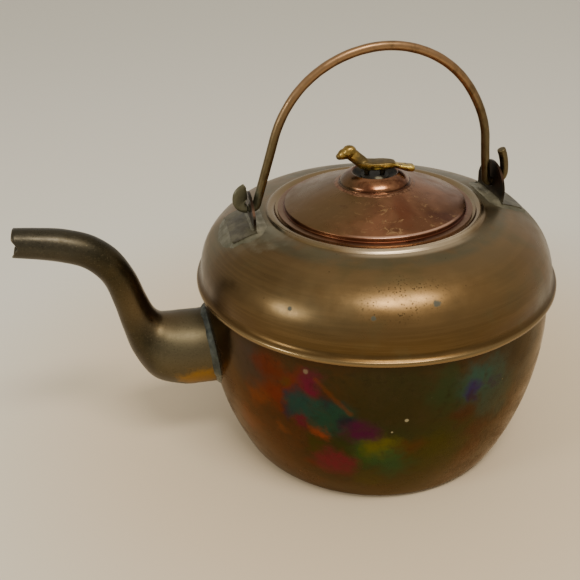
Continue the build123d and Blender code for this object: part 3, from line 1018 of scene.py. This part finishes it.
# ---- lid: reddish copper, scuffed ----
look = Look("reddish_copper")
look.ground(look.noise(26, 4.0, 0.55, 0.5), 0.38, 0.62, (140, 96, 68), (116, 78, 54))
look.lay(look.near((-44, -6, 172), 24, 56, 14, 18), 0.85, (106, 84, 54))
look.lay(look.near((0, 46, 172), 20, 50, 12, 18), 0.5, (118, 96, 78))
look.lay(look.near((6, -36, 176), 2, 14, 6, 8, stretch=(0.6, 1.8, 1)), 0.6, (112, 62, 42))
violet = look.near((33, -43, 172), 3, 12, 5, 6, stretch=(1.8, 0.7, 1))
look.lay(violet, 0.7, (86, 52, 42))
scuff_zone = look.near((4, -46, 172), 10, 34, 8, 9, stretch=(1.4, 1, 1))
scuffs = look.band(look.noise(5, 4.0, 0.7, 1.2, stretch=(1.3, 0.8, 1)), 0.57, 0.66)
scuffs = look.times(scuffs, look.blend(scuff_zone, 0.08, 0.8))
look.cover(scuffs, (176, 138, 96))
look.lay(look.band(look.noise(11, 5.0, 0.7, move=(3, 3, 3)), 0.58, 0.74), 0.5, (80, 52, 38))
look.lay(look.worn(0.53, 0.62), 0.6, (196, 146, 112))
look.lay(look.ring(59.6, 60.6), 0.75, (116, 88, 68))
# Painted highlight along the front of the lid's rolled edge.
lip = look.band(look.off(look.radius(), 57.9), 0.9, 0.3)
lip = look.times(lip, look.near((8, -58, 170), 18, 46, 6, 10))
look.lay(lip, 0.85, (216, 172, 146))
step_shade = look.band(look.off(look.radius(), 59.2), 1.1, 0.2)
look.lay(step_shade, 0.75, (84, 36, 22))
lid_look = look.done(1.0, look.cloudy(0.24, 0.42, 14, 5.0, 0.65), (0.06, 6, 4.0, 0.6), (0.010, 1.6, 3.0))

# ---- knob: bright copper ----
look = Look("bright_copper")
look.ground(look.noise(9, 4.0), 0.4, 0.62, (138, 96, 68), (100, 62, 43))
dish = look.times(look.ring(14.9, 13.6), look.level(184.6, 185.2))
# Painted shade: the dish under the bird painted near black, mottled.
dish_shade = look.mix(look.band(look.noise(4, 4.0, 0.6), 0.42, 0.6), (26, 22, 16), (48, 42, 30))
look.cover(dish, dish_shade)
# Painted shade in the groove just above the knob's foot bead.
groove_shade = look.times(look.ring(23.3, 22.9), look.level(184.9, 184.5))
look.lay(groove_shade, 0.7, (56, 30, 18))
# Painted shade on the knob's left flank.
left_flank_shade = look.near((-22, -4, 186), 6, 16, 6, 5)
look.lay(left_flank_shade, 0.7, (74, 60, 38))
knob_look = look.done(
    look.blend(dish, 1.0, 0.35),
    look.blend(dish, look.cloudy(0.18, 0.32, 7, 4.0), 0.7),
    (0.04, 4, 3.0), (0.010, 1.1, 3.0),
)

# ---- spout: grey olive-brown copper ----
look = Look("olive_copper")
look.ground(look.noise(30, 4.0, 0.55, 0.4), 0.38, 0.64, (66, 56, 37), (52, 46, 32))
tip = look.near((-232, 0, 168), 30, 66, 10, 16)
look.lay(tip, 0.8, (72, 67, 56))
barrel = look.near((-128, -14, 80), 16, 38, 8, 14)
look.lay(barrel, 0.9, (96, 86, 64))
mottle = look.band(look.noise(10, 5.0, 0.65, move=(2, 5, 1)), 0.55, 0.75, 0.0, 0.5)
look.cover(mottle, (52, 45, 30))
gold = look.near((-125, -22, 65), 5, 13, 6, 6, stretch=(1.5, 1, 1))
look.lay(gold, 0.9, (148, 112, 46))
bend = look.near((-148, 0, 118), 12, 32)
look.lay(bend, 0.7, (104, 86, 60))
grain = look.noise(1.0, 3.0, 0.7, move=(3, 3, 5))
look.cover(look.band(grain, 0.55, 0.75, 0.0, 0.40), (120, 108, 82))
look.cover(look.band(grain, 0.45, 0.28, 0.0, 0.45), (34, 29, 19))
scratches = look.band(look.noise(1.7, 4.0, 0.7, stretch=(3, 1, 1), move=(7, 1, 0)), 0.66, 0.72)
scratches = look.times(scratches, look.band(look.noise(22, 2.0, move=(1, 1, 9)), 0.5, 0.6))
look.lay(scratches, 0.5, (136, 128, 98))
look.lay(look.worn(0.54, 0.64), 0.5, (170, 146, 108))
satin = look.cloudy(0.30, 0.44, 16, 5.0, 0.6)
satin = look.sum("ADD", look.blend(barrel, satin, 0.46), look.band(grain, 0.3, 0.7, -0.06, 0.06))
spout_look = look.done(1.0, satin, (0.05, 7, 3.0), (0.022, 1.5, 3.0, 0.6))

# ---- bail rod: browned copper, cut ends bright ----
look = Look("rod_copper")
look.ground(look.height(), 205, 262, (98, 84, 58), (148, 114, 80))
look.cover(look.band(look.noise(8, 4.0, 0.6, stretch=(1, 1, 1.5)), 0.50, 0.70, 0.0, 0.5), (68, 54, 34))
look.cover(look.band(look.noise(5, 4.0, 0.6, move=(4, 4, 4)), 0.62, 0.74, 0.0, 0.4), (148, 118, 78))
grey_hook = look.near((-88, 0, 182), 11, 16, 2, 5)
look.lay(grey_hook, 0.8, (78, 76, 56))
rod_look = look.done(
    look.blend(grey_hook, 1.0, 0.6),
    look.cloudy(0.28, 0.46, 6, 4.0, 0.6),
    (0.10, 5, 3.0), (0.02, 1.2, 3.0),
)

look = Look("cut_copper")
look.tint = look.mix(look.noise(1.5, 3.0), (196, 138, 104), (150, 100, 72))
cut_look = look.done(1.0, look.cloudy(0.3, 0.5, 1.0, 3.0))

# ---- lugs: dark purple-brown copper with bright edges ----
look = Look("dark_copper")
look.ground(look.noise(8, 4.0, 0.6), 0.40, 0.62, (56, 40, 30), (40, 34, 26))
foot = look.level(172, 165)
grey = look.mix(look.band(look.noise(7, 4.0, 0.6), 0.4, 0.6), (88, 82, 62), (66, 60, 44))
look.lay(foot, 0.9, grey)
lug_look = look.done(
    look.blend(foot, 1.0, 0.5),
    look.cloudy(0.36, 0.52, 5, 4.0),
    (0.08, 4, 3.0), (0.02, 1.0, 3.0),
)

look = Look("lug_edge")
rubbed = look.band(look.noise(6, 3.0, 0.6, move=(2, 1, 7)), 0.50, 0.64)
by_pin = look.most(look.near((-82, -4, 176), 3, 12), look.near((82, -4, 184), 6, 16))
rubbed = look.times(rubbed, look.blend(by_pin, 0.25, 1.0))
look.tint = look.mix(rubbed, (62, 46, 34), (190, 148, 112))
lug_edge_look = look.done(1.0, look.cloudy(0.24, 0.42, 2.0, 3.0))

# ---- solder: dull grey with a green patina ----
look = Look("old_solder")
look.ground(look.noise(6, 4.0, 0.6), 0.38, 0.64, (64, 66, 56), (40, 43, 36))
look.cover(look.band(look.noise(3.4, 4.0, 0.65, move=(5, 1, 2)), 0.56, 0.70, 0.0, 0.6), (70, 76, 64))
look.cover(look.band(look.noise(2.2, 3.0, 0.6, move=(9, 1, 6)), 0.62, 0.74, 0.0, 0.7), (34, 34, 28))
shiny = look.near((-116, -22, 58), 5, 14, 5, 5, stretch=(1, 1, 1.2))
look.lay(shiny, 0.6, (112, 114, 100))
solder_look = look.done(
    look.blend(shiny, look.band(look.noise(7, 3.0), 0.40, 0.6, 0.2, 0.55), 0.9),
    look.blend(shiny, look.cloudy(0.46, 0.68, 4, 4.0), 0.26),
    (0.14, 2.6, 4.0, 0.6), (0.04, 0.9, 3.0),
)

# ---- solder smeared under the lugs: smooth warm grey ----
look = Look("smeared_solder")
look.ground(look.noise(10, 4.0, 0.6), 0.38, 0.64, (116, 109, 88), (92, 87, 68))
outside = look.ring(82.0, 86.0)
look.lay(outside, 0.7, (74, 70, 50))
look.cover(look.band(look.noise(4, 4.0, 0.65, move=(5, 1, 2)), 0.58, 0.72, 0.0, 0.35), (92, 96, 80))
look.cover(look.band(look.noise(3, 3.0, 0.6, move=(9, 1, 6)), 0.62, 0.76, 0.0, 0.5), (50, 48, 38))
patch_look = look.done(
    look.band(look.noise(8, 3.0), 0.40, 0.6, 0.2, 0.5),
    look.cloudy(0.36, 0.55, 5, 4.0),
    (0.08, 5, 4.0, 0.6), (0.015, 1.2, 3.0),
)

look = Look("copper_stained_solder")
look.ground(look.noise(2.0, 4.0, 0.6), 0.42, 0.60, (112, 76, 54), (142, 104, 78))
knob_solder_look = look.done(1.0, look.cloudy(0.25, 0.45, 2, 4.0), (0.05, 2.2, 3.0))

look = Look("pool_solder")
# The solder pool painted dark as the shade under the bird, with a painted reflection near its front.
pale_reflection = look.near((0.5, -7, 187), 1.6, 3.4, 0.8, 2.0)
look.tint = look.mix(pale_reflection, (36, 31, 22), (150, 142, 118))
pool_look = look.done(0.4, 0.6, (0.10, 2.2, 3.0))

# ---- bird: cast brass ----
look = Look("cast_brass")
look.ground(look.noise(4, 4.0, 0.6), 0.38, 0.62, (156, 126, 66), (116, 94, 48))
back = look.level(bird_middle + 1.3, bird_middle + 2.0)
head = look.near((-17, 3, bird_middle + 8), 5, 9)
back = look.times(back, look.sum("SUBTRACT", 1.0, head))
look.lay(back, 0.75, (86, 74, 50))
# Brighter brass along the body's rim, and a painted highlight on the near side of the tail.
edge = look.band(look.off(look.height(), bird_middle - 0.9), 2.4, 0.9)
tail = look.near((22, -4, bird_middle - 3.2), 5, 11)
bright = look.most(look.times(edge, look.sum("SUBTRACT", 1.0, head)), look.times(tail, 0.7))
bright = look.times(bright, look.band(look.noise(3, 3.0, 0.6, move=(5, 5, 1)), 0.34, 0.56))
look.lay(bright, 0.85, (214, 184, 92))
# Painted shade under the bird's body, over its legs.
under_body_shade = look.level(bird_middle - 3.2, bird_middle - 4.2)
under_body_shade = look.times(under_body_shade, look.ring(14.0, 11.0))
look.lay(under_body_shade, 0.95, (32, 27, 18))
bird_look = look.done(
    look.blend(under_body_shade, 1.0, 0.3),
    look.blend(back, look.cloudy(0.22, 0.38, 3, 4.0), 0.5),
    (0.09, 1.6, 4.0, 0.6),
)

# ---- inside: old tin lining ----
look = Look("tin_lining")
look.ground(look.noise(22, 5.0, 0.6), 0.36, 0.66, (140, 136, 124), (104, 96, 82))
look.cover(look.band(look.noise(9, 5.0, 0.7), 0.58, 0.72, 0.0, 0.7), (96, 66, 42))
tin_look = look.done(0.8, look.cloudy(0.42, 0.62, 12, 4.0), (0.06, 3, 4.0))

for made, looks in (
    (bowl, [bowl_look, tin_look]),
    (shoulder, [shoulder_look, tin_look]),
    (spout, [spout_look, tin_look]),
    (spout_solder, [solder_look]),
    (front_patch, [patch_look]),
    (rear_patch, [patch_look]),
    (bail, [rod_look, cut_look]),
    (lid, [lid_look, tin_look]),
    (knob, [knob_look, tin_look]),
    (knob_solder, [knob_solder_look]),
    (bird, [bird_look]),
):
    made.data.materials.clear()
    for finish in looks:
        made.data.materials.append(finish)

for name, finishes in (
    ("front_lug", [lug_look, lug_edge_look]),
    ("rear_lug", [lug_look, lug_edge_look]),
    ("seam_solder", [solder_look]),
    ("lid_skirt", [tin_look]),
    ("bird_solder", [pool_look]),
):
    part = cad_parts[name]
    for held, finish in zip(part.material_slots, finishes):
        held.material = finish
    for finish in finishes[len(part.material_slots):]:
        part.data.materials.append(finish)

# ---- floor, lights and camera ----
half_floor = 9000.0
corners = [(half_floor * x, half_floor * y, 0) for x, y in ((-1, -1), (1, -1), (1, 1), (-1, 1))]
floor = piece("floor", corners, [(0, 1, 2, 3)])
floor_look = Look("floor_paint")
floor_look.set("Roughness", 0.62)
warm = floor_look.near((0, 0, 0), 150, 420)
floor_look.set("Base Color", floor_look.mix(warm, (228, 221, 205), (222, 200, 166)))
floor.data.materials.append(floor_look.material)

sky = bpy.data.worlds.new("studio")
sky.use_nodes = True
glow = sky.node_tree.nodes["Background"].inputs
glow["Color"].default_value = screen(206, 202, 192)
glow["Strength"].default_value = 1.14
scene.world = sky


def soft_light(name, turn, climb, distance, size, power, warmth):
    """A soft light aimed at the kettle, placed by compass angle and elevation. Metres and watts."""
    lamp = bpy.data.lights.new(name, "AREA")
    lamp.shape = "RECTANGLE"
    lamp.size, lamp.size_y = size
    lamp.energy = power
    lamp.color = warmth
    made = placed(name, lamp)
    turn, climb = radians(turn), radians(climb)
    away = Vector((cos(turn) * cos(climb), sin(turn) * cos(climb), sin(climb)))
    made.location = Vector((0, 0, 0.12)) + away * distance
    made.rotation_mode = "QUATERNION"
    made.rotation_quaternion = away.to_track_quat("Z", "Y")


soft_light("ceiling_light", -80, 62, 1.6, (0.75, 0.30), 16, (1.0, 0.96, 0.90))
soft_light("window", -161, 22, 1.9, (0.42, 0.42), 10, (0.93, 0.97, 1.0))

camera = placed("camera", bpy.data.cameras.new("camera"))
camera.data.sensor_width = 36.0
camera.data.lens = 44.69
camera.data.clip_start = 0.01
camera.location = Vector((-136.16, -419.06, 356.11)) * MM
camera.rotation_euler = (radians(60.027), radians(1.872), radians(-11.632))
scene.camera = camera

bpy.context.view_layer.update()
